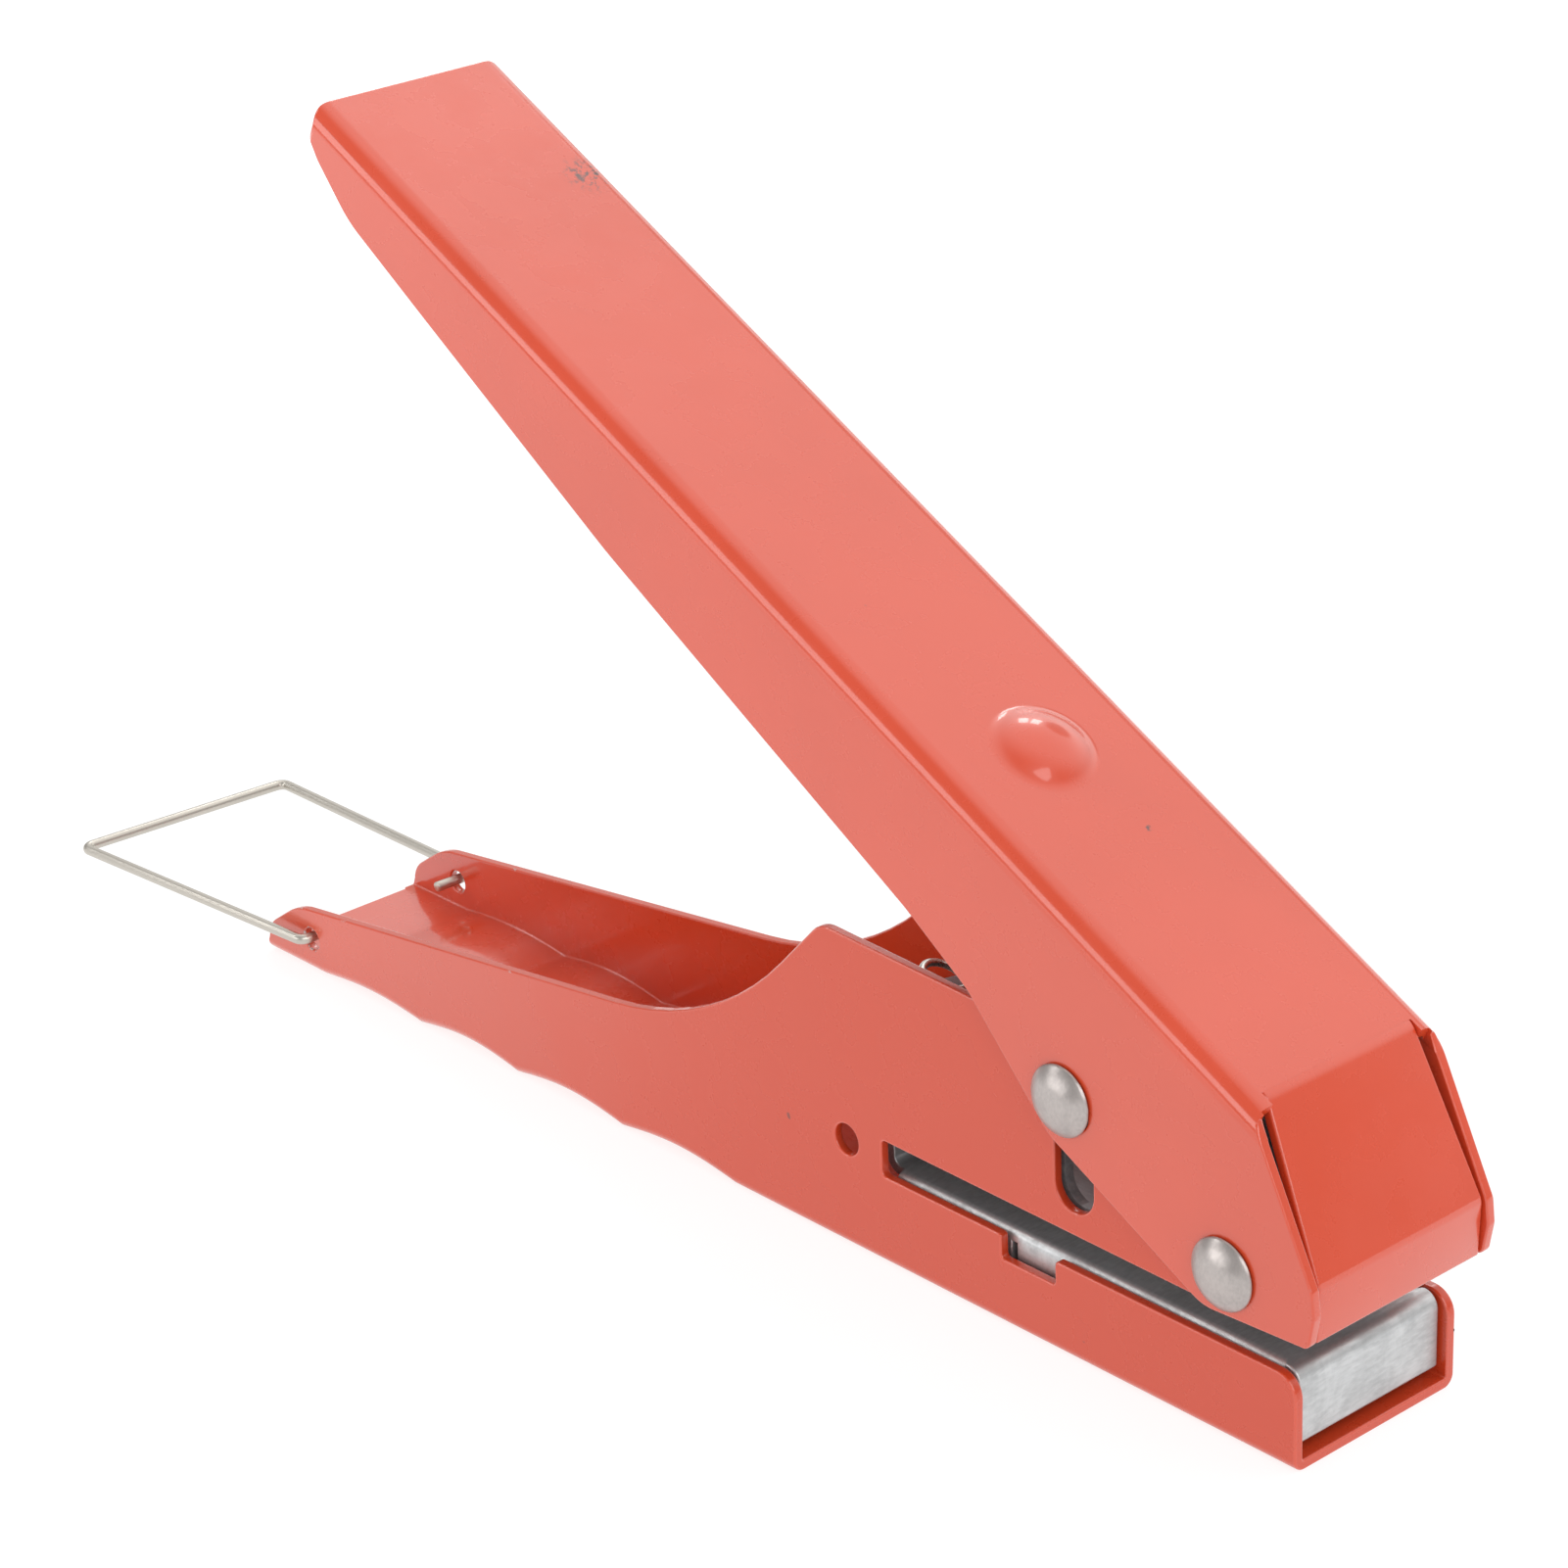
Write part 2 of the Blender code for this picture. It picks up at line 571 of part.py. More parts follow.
def build_bail():
    px, pz = BAIL_PIVOT
    bz = BAIL_BAR_Z - pz
    bail = wire("bail_wire", bend_path([
        ((0, -BAIL_TIP_Y, 0), 0), ((0, -BAIL_ARM_Y, 0), 0.9),
        ((BAIL_NEAR[0] - px, BAIL_NEAR[1], bz), 1.5), ((BAIL_FAR[0] - px, BAIL_FAR[1], bz), 1.5),
        ((0, BAIL_ARM_Y, 0), 0.9), ((0, BAIL_TIP_Y, 0), 0)]), BAIL_WIRE_R, sides=12)
    finish(bail, NICKEL, 0.3, 1.0, parent=bail_axis)


build_frame()
build_lever()
build_die()
build_guide()
build_pins()
build_spring()
build_bail()
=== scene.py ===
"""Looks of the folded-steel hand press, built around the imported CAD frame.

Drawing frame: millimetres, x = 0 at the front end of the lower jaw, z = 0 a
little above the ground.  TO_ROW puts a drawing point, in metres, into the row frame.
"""
import math

import bmesh
import bpy
from mathutils import Matrix, Vector, noise


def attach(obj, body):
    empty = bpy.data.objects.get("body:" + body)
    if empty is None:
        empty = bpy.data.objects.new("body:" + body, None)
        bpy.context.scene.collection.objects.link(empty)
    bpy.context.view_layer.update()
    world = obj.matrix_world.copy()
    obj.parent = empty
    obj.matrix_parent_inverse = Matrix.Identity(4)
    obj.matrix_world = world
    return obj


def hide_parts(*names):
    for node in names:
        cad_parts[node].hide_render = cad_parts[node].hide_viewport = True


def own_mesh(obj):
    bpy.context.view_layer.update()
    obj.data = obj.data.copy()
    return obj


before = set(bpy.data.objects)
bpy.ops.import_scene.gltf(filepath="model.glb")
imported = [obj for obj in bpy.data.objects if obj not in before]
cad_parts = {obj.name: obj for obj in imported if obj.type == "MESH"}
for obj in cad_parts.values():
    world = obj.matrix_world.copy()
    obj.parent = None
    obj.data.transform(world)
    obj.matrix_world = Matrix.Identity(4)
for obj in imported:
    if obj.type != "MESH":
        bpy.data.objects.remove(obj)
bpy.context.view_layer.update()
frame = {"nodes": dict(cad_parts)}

MM = 0.001
SHIFT = 85.75
LIFT = 0.3

# ------------------------------------------------------------- dimensions
SHEET = 1.0
FRAME_HALF = 10.1
FRAME_BEND = 1.2
FLOOR_DROP = 0.3
TAIL_X = -143.95
FLOOR_TAIL_X = -143.6
JAW_TOP = 8.85
THROAT_REAR = -49.8
THROAT_TOP_REAR = 12.5
THROAT_TOP_FRONT = 12.1
UPPER_JAW_FRONT = -2.3
HUMP_TOP = 31.6
GROOVES = ((-134.5, -118.5, 0.6), (-118.5, -103.0, 0.85), (-103.0, -87.0, 0.85),
           (-87.0, -70.5, 0.8))
PIVOT = (-6.93, 16.73)
OPEN_ANGLE = 27.5
PIN_X = -25.55
PIN_Z = 26.03
SLOT_HALF = 2.3
SLOT_BOTTOM = 14.6
SLOT_TOP = 28.5
LEVER_HALF = 11.4
LEVER_BEND = 2.2
LEVER_TOP = 15.77
LEVER_TAIL = -138.7
FOLD_X = -5.3
FLAP_HALF = 10.1
DIMPLE_X = -43.9
SHANK_R = 2.0
HEAD_R = 3.35
DIE_HALF = 8.8
DIE_TOP = 8.9
DIE_FRONT = -0.75
DIE_REAR = -51.6
DIE_BEND = 1.0
NOTCH = (-34.6, -28.0, 6.45)
SPRING_FOOT = (-55.6, 14.4)
SPRING_R = 2.7
SPRING_TURNS = 10
BAIL_PIVOT = (-136.2, 3.75)
BAIL_HOLE = (-136.1, 3.5)
BAIL_HOLE_R = 1.2
BAIL_WIRE_R = 0.5
BAIL_ARM_Y = 11.2
BAIL_NEAR = (-174.6, -13.3)
BAIL_FAR = (-172.6, 13.25)
BAIL_BAR_Z = 2.7
BAIL_TIP_Y = 6.5

TO_ROW = Matrix.Translation((SHIFT * MM, 0, LIFT * MM))
LEVER_TO_ROW = (TO_ROW @ Matrix.Translation((PIVOT[0] * MM, 0, PIVOT[1] * MM))
                @ Matrix.Rotation(math.radians(OPEN_ANGLE), 4, "Y"))


# ---------------------------------------------------------------- helpers
def rounded(corners, step=6.0):
    """Polygon through corners (x, z, radius), each corner filleted."""
    out = []
    n = len(corners)
    for i, (x, z, r) in enumerate(corners):
        p = Vector((x, z))
        a = Vector(corners[i - 1][:2])
        b = Vector(corners[(i + 1) % n][:2])
        if r <= 0:
            out.append((p.x, p.y))
            continue
        u = (a - p).normalized()
        v = (b - p).normalized()
        half = u.angle(v) / 2
        t = min(r / math.tan(half), 0.98 * (a - p).length, 0.98 * (b - p).length)
        rr = t * math.tan(half)
        centre = p + (u + v).normalized() * (rr / math.sin(half))
        start = p + u * t - centre
        turn = math.pi - 2 * half
        sign = 1.0 if (-u).cross(v) > 0 else -1.0
        k = max(2, int(math.ceil(math.degrees(turn) / step)))
        for j in range(k + 1):
            q = Matrix.Rotation(sign * turn * j / k, 2) @ start + centre
            out.append((q.x, q.y))
    return out


def new_object(name, bm, smooth=40.0):
    bmesh.ops.recalc_face_normals(bm, faces=bm.faces)
    mesh = bpy.data.meshes.new(name)
    bm.to_mesh(mesh)
    bm.free()
    mesh.shade_smooth()
    mesh.set_sharp_from_angle(angle=math.radians(smooth))
    obj = bpy.data.objects.new(name, mesh)
    bpy.context.scene.collection.objects.link(obj)
    return obj


def loft(name, rings, smooth=40.0):
    """Closed body through rings of points in mm, with flat ends."""
    bm = bmesh.new()
    loops = [[bm.verts.new(Vector(p) * MM) for p in ring] for ring in rings]
    n = len(loops[0])
    for a, b in zip(loops[:-1], loops[1:]):
        for i in range(n):
            bm.faces.new((a[i], a[(i + 1) % n], b[(i + 1) % n], b[i]))
    bm.faces.new(loops[0])
    bm.faces.new(loops[-1])
    return new_object(name, bm, smooth)


def prism(name, outline, y0, y1):
    return loft(name, [[(x, y, z) for x, z in outline] for y in (y0, y1)])


def slab(name, outline, z0, z1):
    return loft(name, [[(x, y, z) for x, y in outline] for z in (z0, z1)])


def circle(cx, cz, r, n=64):
    return [(cx + r * math.cos(2 * math.pi * i / n), cz + r * math.sin(2 * math.pi * i / n))
            for i in range(n)]


def stadium(cx, z0, z1, r, n=64):
    h = n // 2
    top = [(cx + r * math.cos(math.pi * i / h), z1 - r + r * math.sin(math.pi * i / h))
           for i in range(h + 1)]
    low = [(cx - r * math.cos(math.pi * i / h), z0 + r - r * math.sin(math.pi * i / h))
           for i in range(h + 1)]
    return top + low


def turned(name, cx, cz, profile, n=96, axis="Y", closed=False):
    """Body of revolution from (position, radius) pairs.  closed joins the last
    pair back to the first, for a ring or a bored piece."""
    bm = bmesh.new()

    def ring(pos, r):
        vs = []
        for i in range(n):
            a = 2 * math.pi * i / n
            if axis == "Y":
                p = (cx + r * math.cos(a), pos, cz + r * math.sin(a))
            else:
                p = (cx + r * math.cos(a), cz + r * math.sin(a), pos)
            vs.append(bm.verts.new(Vector(p) * MM))
        return vs

    rows = [ring(p, r) for p, r in profile]
    if closed:
        rows.append(rows[0])
    for a, b in zip(rows[:-1], rows[1:]):
        for i in range(n):
            bm.faces.new((a[i], a[(i + 1) % n], b[(i + 1) % n], b[i]))
    if not closed:
        bm.faces.new(rows[0])
        bm.faces.new(rows[-1])
    return new_object(name, bm)


def wire(name, points, r, sides=16):
    """Round wire along points in mm, its ends slightly rounded."""
    pts = [Vector(p) for p in points]
    ahead = (pts[0] - pts[1]).normalized()
    behind = (pts[-1] - pts[-2]).normalized()
    pts = [pts[0] + ahead * 0.25 * r, pts[0] + ahead * 0.15 * r] + pts
    pts += [pts[-1] + behind * 0.15 * r, pts[-1] + behind * 0.25 * r]
    radii = [0.7 * r, 0.92 * r] + [r] * (len(pts) - 4) + [0.92 * r, 0.7 * r]
    rings = []
    normal = None
    for i, p in enumerate(pts):
        a = pts[max(i - 1, 0)]
        b = pts[min(i + 1, len(pts) - 1)]
        t = (b - a).normalized()
        if normal is None:
            normal = t.orthogonal().normalized()
        normal = (normal - t * normal.dot(t)).normalized()
        other = t.cross(normal)
        rings.append([p + (normal * math.cos(2 * math.pi * k / sides)
                           + other * math.sin(2 * math.pi * k / sides)) * radii[i]
                      for k in range(sides)])
    return loft(name, rings, smooth=60.0)


def bend_path(corners, step=8.0):
    """3-D polyline through corners (point, bend radius)."""
    out = [Vector(corners[0][0])]
    for i in range(1, len(corners) - 1):
        p = Vector(corners[i][0])
        a = Vector(corners[i - 1][0])
        b = Vector(corners[i + 1][0])
        r = corners[i][1]
        u = (a - p).normalized()
        v = (b - p).normalized()
        half = u.angle(v) / 2
        t = r / math.tan(half)
        centre = p + (u + v).normalized() * (r / math.sin(half))
        s = p + u * t - centre
        e = p + v * t - centre
        k = max(2, int(math.ceil(math.degrees(math.pi - 2 * half) / step)))
        for j in range(k + 1):
            out.append(centre + s.slerp(e, j / k))
    out.append(Vector(corners[-1][0]))
    return out


def bake(obj):
    """Keep the result of the object's modifiers."""
    bpy.context.view_layer.update()
    graph = bpy.context.evaluated_depsgraph_get()
    mesh = bpy.data.meshes.new_from_object(obj.evaluated_get(graph))
    old = obj.data
    obj.modifiers.clear()
    obj.data = mesh
    bpy.data.meshes.remove(old)
    return obj


def combine(obj, tools, operation="DIFFERENCE"):
    for tool in tools:
        mod = obj.modifiers.new(tool.name, "BOOLEAN")
        mod.operation = operation
        mod.object = tool
        mod.solver = "EXACT"
    bake(obj)
    for tool in tools:
        bpy.data.objects.remove(tool, do_unlink=True)
    bm = bmesh.new()
    bm.from_mesh(obj.data)
    bmesh.ops.remove_doubles(bm, verts=bm.verts, dist=1e-6)
    bmesh.ops.dissolve_degenerate(bm, dist=1e-7, edges=bm.edges)
    bm.to_mesh(obj.data)
    bm.free()
    obj.data.shade_smooth()
    return obj


def soften(obj, width, segments=3, angle=34.0, slot=-1, skip=None):
    """Round the cut edges of sheet metal and keep its flats flat.  skip tells
    from the middle of an edge, in mm, whether it stays as it is."""
    bm = bmesh.new()
    bm.from_mesh(obj.data)
    layer = bm.edges.layers.float.get("bevel_weight_edge")
    if layer is None:
        layer = bm.edges.layers.float.new("bevel_weight_edge")
    for edge in bm.edges:
        sharp = len(edge.link_faces) == 2 and edge.calc_face_angle(0.0) > math.radians(angle)
        middle = (edge.verts[0].co + edge.verts[1].co) / (2 * MM)
        edge[layer] = 1.0 if sharp and not (skip and skip(middle)) else 0.0
    bm.to_mesh(obj.data)
    bm.free()
    mod = obj.modifiers.new("edges", "BEVEL")
    mod.width = width * MM
    mod.segments = segments
    mod.limit_method = "WEIGHT"
    mod.use_clamp_overlap = False
    mod.material = slot
    bake(obj)
    obj.data.shade_smooth()
    obj.data.set_sharp_from_angle(angle=math.radians(50))
    mod = obj.modifiers.new("flats", "WEIGHTED_NORMAL")
    mod.mode = "FACE_AREA"
    mod.weight = 90
    mod.keep_sharp = True
    return bake(obj)


def join(obj, others):
    """Put the other objects' meshes into obj."""
    for other in others:
        bm = bmesh.new()
        bm.from_mesh(obj.data)
        bm.from_mesh(other.data)
        bm.to_mesh(obj.data)
        bm.free()
        bpy.data.objects.remove(other, do_unlink=True)
    return obj


def channel_ring(x, half, floor, top, bend_top, bend, t, flip=1.0, seg=10):
    """U-shaped section at x, as in the CAD but with a finer bend."""
    outer, inner = [], []
    hy = half - bend
    hz = bend_top - floor
    for i in range(seg + 1):
        a = math.pi / 2 * i / seg
        outer.append((-(hy + bend * math.cos(a)), floor + hz * (1 - math.sin(a))))
        inner.append((-(hy + (bend - t) * math.cos(a)),
                      floor + t + (hz - t) * (1 - math.sin(a))))
    left = [(-half, top)] + outer
    ring = left + [(-y, z) for y, z in reversed(left)]
    left_in = [(-(half - t), top)] + inner
    ring += [(y, z) for y, z in [(-y, z) for y, z in left_in]]
    ring += list(reversed(left_in))
    return [(x, y, flip * z) for y, z in ring]


def place(obj, body, matrix, slot, *nodes):
    """Into the row frame, onto its body, in place of its CAD nodes."""
    obj.data.transform(matrix)
    obj.data.update()
    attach(obj, body)
    if nodes:
        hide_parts(*nodes)
    return obj


# -------------------------------------------------------------- materials
class Nodes:
    """Small helper to wire up a procedural material."""

    def __init__(self, name):
        self.mat = bpy.data.materials.new(name)
        self.mat.use_nodes = True
        self.tree = self.mat.node_tree
        self.bsdf = self.tree.nodes["Principled BSDF"]
        self.coord = self.tree.nodes.new("ShaderNodeTexCoord")

    def set(self, **values):
        for key, value in values.items():
            self.bsdf.inputs[key.replace("_", " ")].default_value = value

    def link(self, a, b):
        self.tree.links.new(a, b)

    def mapping(self, scale=(1, 1, 1), rotation=(0, 0, 0), location=(0, 0, 0)):
        node = self.tree.nodes.new("ShaderNodeMapping")
        node.inputs["Scale"].default_value = scale
        node.inputs["Rotation"].default_value = rotation
        node.inputs["Location"].default_value = location
        self.link(self.coord.outputs["Object"], node.inputs["Vector"])
        return node.outputs["Vector"]

    def noise(self, scale, detail=3.0, rough=0.5, vector=None, distortion=0.0):
        node = self.tree.nodes.new("ShaderNodeTexNoise")
        node.inputs["Scale"].default_value = scale
        node.inputs["Detail"].default_value = detail
        node.inputs["Roughness"].default_value = rough
        node.inputs["Distortion"].default_value = distortion
        self.link(vector or self.coord.outputs["Object"], node.inputs["Vector"])
        return node.outputs["Fac"]

    def ramp(self, value, low, high, a=0.0, b=1.0):
        node = self.tree.nodes.new("ShaderNodeMapRange")
        node.interpolation_type = "SMOOTHSTEP"
        node.inputs["From Min"].default_value = low
        node.inputs["From Max"].default_value = high
        node.inputs["To Min"].default_value = a
        node.inputs["To Max"].default_value = b
        self.link(value, node.inputs["Value"])
        return node.outputs["Result"]

    def math(self, op, a, b):
        node = self.tree.nodes.new("ShaderNodeMath")
        node.operation = op
        for i, value in enumerate((a, b)):
            if isinstance(value, (int, float)):
                node.inputs[i].default_value = value
            else:
                self.link(value, node.inputs[i])
        return node.outputs[0]

    def mix(self, fac, a, b):
        node = self.tree.nodes.new("ShaderNodeMix")
        node.data_type = "RGBA"
        self.link(fac, node.inputs["Factor"])
        for socket, value in ((node.inputs["A"], a), (node.inputs["B"], b)):
            pass
        ins = [s for s in node.inputs if s.type == "RGBA"]
        for socket, value in zip(ins, (a, b)):
            if isinstance(value, tuple):
                socket.default_value = (*value, 1.0)
            else:
                self.link(value, socket)
        return [s for s in node.outputs if s.type == "RGBA"][0]

    def bump(self, height, distance, strength=1.0, under=None):
        node = self.tree.nodes.new("ShaderNodeBump")
        node.inputs["Strength"].default_value = strength
        node.inputs["Distance"].default_value = distance
        self.link(height, node.inputs["Height"])
        if under is not None:
            self.link(under, node.inputs["Normal"])
        return node.outputs["Normal"]

    def spot(self, point, radius, stretch=None):
        """1 inside radius of a point in the row frame, in mm, fading to 0."""
        sub = self.tree.nodes.new("ShaderNodeVectorMath")
        sub.operation = "DISTANCE"
        self.link(self.coord.outputs["Object"], sub.inputs[0])
        sub.inputs[1].default_value = point
        return self.ramp(sub.outputs["Value"], radius * MM, 0.25 * radius * MM, 0.0, 1.0)


PAINT = (0.66, 0.066, 0.022)
PAINT_DARK = (0.64, 0.063, 0.020)
PAINT_LIGHT = (0.68, 0.069, 0.024)
# Darker red, used as painted shade towards the jaw, where the light falls off.
PAINT_SHADED = (0.61, 0.058, 0.018)
PRIMER = (0.09, 0.035, 0.03)


def lever_point(x, y, z=LEVER_TOP):
    return LEVER_TO_ROW @ Vector((x * MM, y * MM, z * MM))


def paint(name, chips, marks=(), shade_to_jaw=False):
    """Sprayed gloss enamel: faint tone drift, orange peel, dust nibs, and
    chips where chips is above zero.  The last flag paints shade towards the jaw: a darker tone and a thinner coat
    with duller gloss."""
    m = Nodes(name)
    drift = m.noise(45.0, 4.0, 0.55)
    tone = m.mix(m.ramp(drift, 0.3, 0.7), PAINT_DARK, PAINT_LIGHT)
    front = None
    # Painted shade: the tone darkens towards the jaw, where the light falls off.
    if shade_to_jaw:
        split = m.tree.nodes.new("ShaderNodeSeparateXYZ")
        m.link(m.coord.outputs["Object"], split.inputs[0])
        front = m.ramp(m.math("ADD", split.outputs["X"], m.math("MULTIPLY", drift, 0.03)),
                       -0.045, 0.055)
        tone = m.mix(front, tone, PAINT_SHADED)
    specks = m.noise(620.0, 1.0, 0.4)
    dust = m.ramp(specks, 0.83, 0.86, 0.0, 0.7)
    tone = m.mix(dust, tone, PRIMER)
    for point, radius in marks:
        smear = m.math("MULTIPLY", m.spot(point, radius), m.ramp(m.noise(1500.0, 4.0, 0.7), 0.48, 0.62))
        tone = m.mix(smear, tone, PRIMER)
    m.set(IOR=1.5, Coat_Weight=1.0, Coat_IOR=1.5)
    rough = m.ramp(m.noise(160.0, 5.0, 0.6), 0.25, 0.75, 0.20, 0.34)
    coat_rough = m.ramp(m.noise(420.0, 3.0, 0.5), 0.3, 0.7, 0.045, 0.11)
    peel = m.bump(m.noise(1150.0, 2.0, 0.5), 0.000010, 0.35)
    waves = m.bump(m.noise(230.0, 2.0, 0.5), 0.00005, 0.3, peel)
    # Painted shade, too: the coat thins towards the jaw, dimming its gloss.
    if shade_to_jaw:
        m.link(m.ramp(front, 0.0, 1.0, 1.0, 0.35), m.bsdf.inputs["Coat Weight"])
    if chips:
        where = m.math("MULTIPLY", m.ramp(m.noise(95.0, 3.0, 0.6), 0.60, 0.66),
                       m.ramp(m.noise(1300.0, 4.0, 0.65), 0.53, 0.58, 0.0, chips))
        metal = m.mix(m.noise(3000.0, 2.0), (0.50, 0.46, 0.44), (0.72, 0.70, 0.68))
        tone = m.mix(where, tone, metal)
        rough = m.math("ADD", rough, m.math("MULTIPLY", where, 0.15))
        m.link(where, m.bsdf.inputs["Metallic"])
        m.link(m.ramp(where, 0.0, 1.0, 1.0, 0.0), m.bsdf.inputs["Coat Weight"])
        waves = m.bump(m.ramp(where, 0.0, 1.0, 1.0, 0.0), 0.00004, 0.8, waves)
    m.link(tone, m.bsdf.inputs["Base Color"])
    m.link(rough, m.bsdf.inputs["Roughness"])
    m.link(coat_rough, m.bsdf.inputs["Coat Roughness"])
    m.link(waves, m.bsdf.inputs["Normal"])
    m.link(waves, m.bsdf.inputs["Coat Normal"])
    return m.mat


def sheet_metal(name, light, dark, low, high, along=(1, 1, 1), cloud=140.0, grain=2600.0,
                peel=0.00002, metallic=1.0):
    """Plated or rolled steel: cloudy tone, drawn grain, fine pits."""
    m = Nodes(name)
    stretched = m.mapping(scale=along)
    clouds = m.noise(cloud, 5.0, 0.62, distortion=0.6)
    lines = m.noise(grain, 3.0, 0.6, vector=stretched)
    both = m.math("ADD", m.math("MULTIPLY", clouds, 0.6), m.math("MULTIPLY", lines, 0.4))
    m.link(m.mix(m.ramp(both, 0.34, 0.66), dark, light), m.bsdf.inputs["Base Color"])
    m.link(m.ramp(both, 0.3, 0.7, high, low), m.bsdf.inputs["Roughness"])
    pits = m.noise(900.0, 3.0, 0.6)
    under = m.bump(pits, peel, 0.5)
    m.link(m.bump(lines, peel * 0.5, 0.6, under), m.bsdf.inputs["Normal"])
    m.set(Metallic=metallic)
    return m.mat


scuff = lever_point(-121.1, 8.6)
# The frame's enamel carries painted shade towards the jaw.
red = paint("red_enamel", 0.0, shade_to_jaw=True)
nib = lever_point(-32.6, 2.4)
red_lever = paint("red_enamel_lever", 0.0, marks=((scuff, 3.2), (nib, 0.5)))
red_edge = paint("red_enamel_edge", 0.9)
zinc = sheet_metal("galvanised_sheet", (0.65, 0.66, 0.665), (0.48, 0.49, 0.495), 0.34, 0.50,
                   along=(1.0, 0.25, 1.0), cloud=210.0, metallic=0.82)
# A darker, less metallic copy of the galvanised sheet for the parts inside the jaw. Its darker tone is painted
# shade, since little light gets in.
zinc_shaded = sheet_metal("galvanised_shaded", (0.42, 0.43, 0.44), (0.24, 0.25, 0.26), 0.40, 0.55,
                        along=(0.15, 1.0, 1.0), metallic=0.45)
nickel = sheet_metal("nickel_satin", (0.52, 0.475, 0.455), (0.42, 0.385, 0.37), 0.32, 0.42,
                     along=(1.0, 1.0, 0.6), cloud=330.0, grain=3800.0, peel=0.000008)
nickel_wire = sheet_metal("nickel_wire", (0.59, 0.555, 0.50), (0.55, 0.52, 0.465), 0.33, 0.38,
                          along=(0.05, 1.0, 1.0), cloud=90.0, grain=500.0, peel=0.0000004)
ground = sheet_metal("ground_steel", (0.52, 0.52, 0.53), (0.36, 0.36, 0.37), 0.22, 0.38,
                     along=(1.0, 1.0, 0.08), cloud=260.0, metallic=0.7)
drawn = sheet_metal("spring_wire", (0.78, 0.76, 0.70), (0.45, 0.43, 0.40), 0.18, 0.32,
                    along=(1.0, 1.0, 1.0), cloud=500.0, peel=0.000008)


def dress(obj, *mats):
    obj.data.materials.clear()
    for mat in mats:
        obj.data.materials.append(mat)
    return obj


# --------------------------------------------------------------- base frame
def groove(x):
    for a, b, depth in GROOVES:
        if a < x < b:
            return depth * math.sin(math.pi * (x - a) / (b - a))
    return 0.0


def build_frame():
    stations = [TAIL_X - 0.4, -140.0]
    for a, b, depth in GROOVES:
        stations += [a + (b - a) * i / 20 for i in range(20)]
    # A section through the middle of each hole keeps the wall's faces simple.
    stations += [GROOVES[-1][1], -54.45, -50.0, PIN_X, PIVOT[0], 0.0, BAIL_HOLE[0]]
    stations.sort()
    body = loft("frame_shell", [
        channel_ring(x, FRAME_HALF, groove(x) - FLOOR_DROP, 36.0,
                     groove(x) - FLOOR_DROP + FRAME_BEND, FRAME_BEND, SHEET) for x in stations])
    far = 60.0
    over = rounded([
        (5.0, far, 0), (5.0, THROAT_TOP_FRONT, 0),
        (UPPER_JAW_FRONT, THROAT_TOP_FRONT, 4.5),
        (UPPER_JAW_FRONT, 17.6, 3.0), (-19.5, 30.3, 3.0),
        (-57.15, HUMP_TOP, 3.0), (-72.5, 15.3, 41.0), (-138.4, 6.5, 8.0),
        (-143.6, 2.9, 3.0), (TAIL_X, 0.4, 0.5), (TAIL_X + 1.35, -2.0, 0), (-160.0, -2.0, 0), (-160.0, far, 0)], 4.0)
    throat = rounded([
        (5.0, THROAT_TOP_FRONT, 0), (THROAT_REAR, THROAT_TOP_REAR, 0.5),
        (THROAT_REAR, JAW_TOP, 0.5), (NOTCH[0], JAW_TOP, 0.4), (NOTCH[0], NOTCH[2], 0.4),
        (NOTCH[1], NOTCH[2], 0.4), (NOTCH[1], JAW_TOP, 0.4),
        (0.0, JAW_TOP, 2.2), (0.0, 5.0, 0), (5.0, 5.0, 0)], 10.0)
    combine(body, [
        prism("over", over, -14, 14),
        prism("throat", throat, -14, 14),
        prism("slots", stadium(PIN_X, SLOT_BOTTOM, SLOT_TOP, SLOT_HALF, 48), -14, 14),
        prism("pivot_holes", circle(*PIVOT, SHANK_R + 0.1, 40), -14, 14),
        prism("side_holes", circle(-54.45, 10.8, 1.55, 40), -14, 14),
        prism("bail_holes", circle(*BAIL_HOLE, BAIL_HOLE_R, 36), -14, 14),
        slab("floor_end", [(-150, -7.9), (FLOOR_TAIL_X, -7.9), (FLOOR_TAIL_X, 7.9), (-150, 7.9)],
             -2, 3),
    ])
    dress(body, red, red_edge)
    soften(body, 0.2, slot=1, skip=lambda m: m.x < -142.2 and m.z < 1.4)
    return place(body, "frame", TO_ROW, "red_paint", "base_frame")


# -------------------------------------------------------------------- lever
def lever_outline():
    return rounded([
        (LEVER_TAIL, LEVER_TOP + 1, 0), (LEVER_TAIL, 13.0, 0.5), (-136.0, 11.2, 3.0),
        (-130.0, 8.6, 12.0), (-117.6, 7.2, 20.0), (-87.7, 3.95, 60.0), (-42.9, 1.3, 20.0),
        (-33.9, 0.1, 4.0), (-20.5, -4.7, 6.0), (-0.3, -4.8, 4.5),
        (9.9, 1.2, 0.8), (9.0, 4.2, 1.5), (7.75, 6.1, 1.5), (-2.9, 14.0, 0.0),
        (-4.2, 14.95, 0.0), (-4.2, LEVER_TOP + 1, 0)], 5.0)


def strip_ring(centre, normal, half, thick, edge):
    """Rounded rectangle across a folded strip: centre and normal lie in the
    x-z plane, half is its half width, thick its thickness."""
    ring = []
    t = thick / 2
    for sy, sn, start in ((1, 1, 0), (-1, 1, 90), (-1, -1, 180), (1, -1, 270)):
        r = min(edge if sn > 0 else edge * 0.5, t * 0.98)
        for i in range(6):
            a = math.radians(start + 90 * i / 5)
            y = sy * (half - r) + r * math.cos(a)
            n = sn * (t - r) + r * math.sin(a)
            ring.append((centre[0] + normal[0] * n, y, centre[1] + normal[1] * n))
    return ring


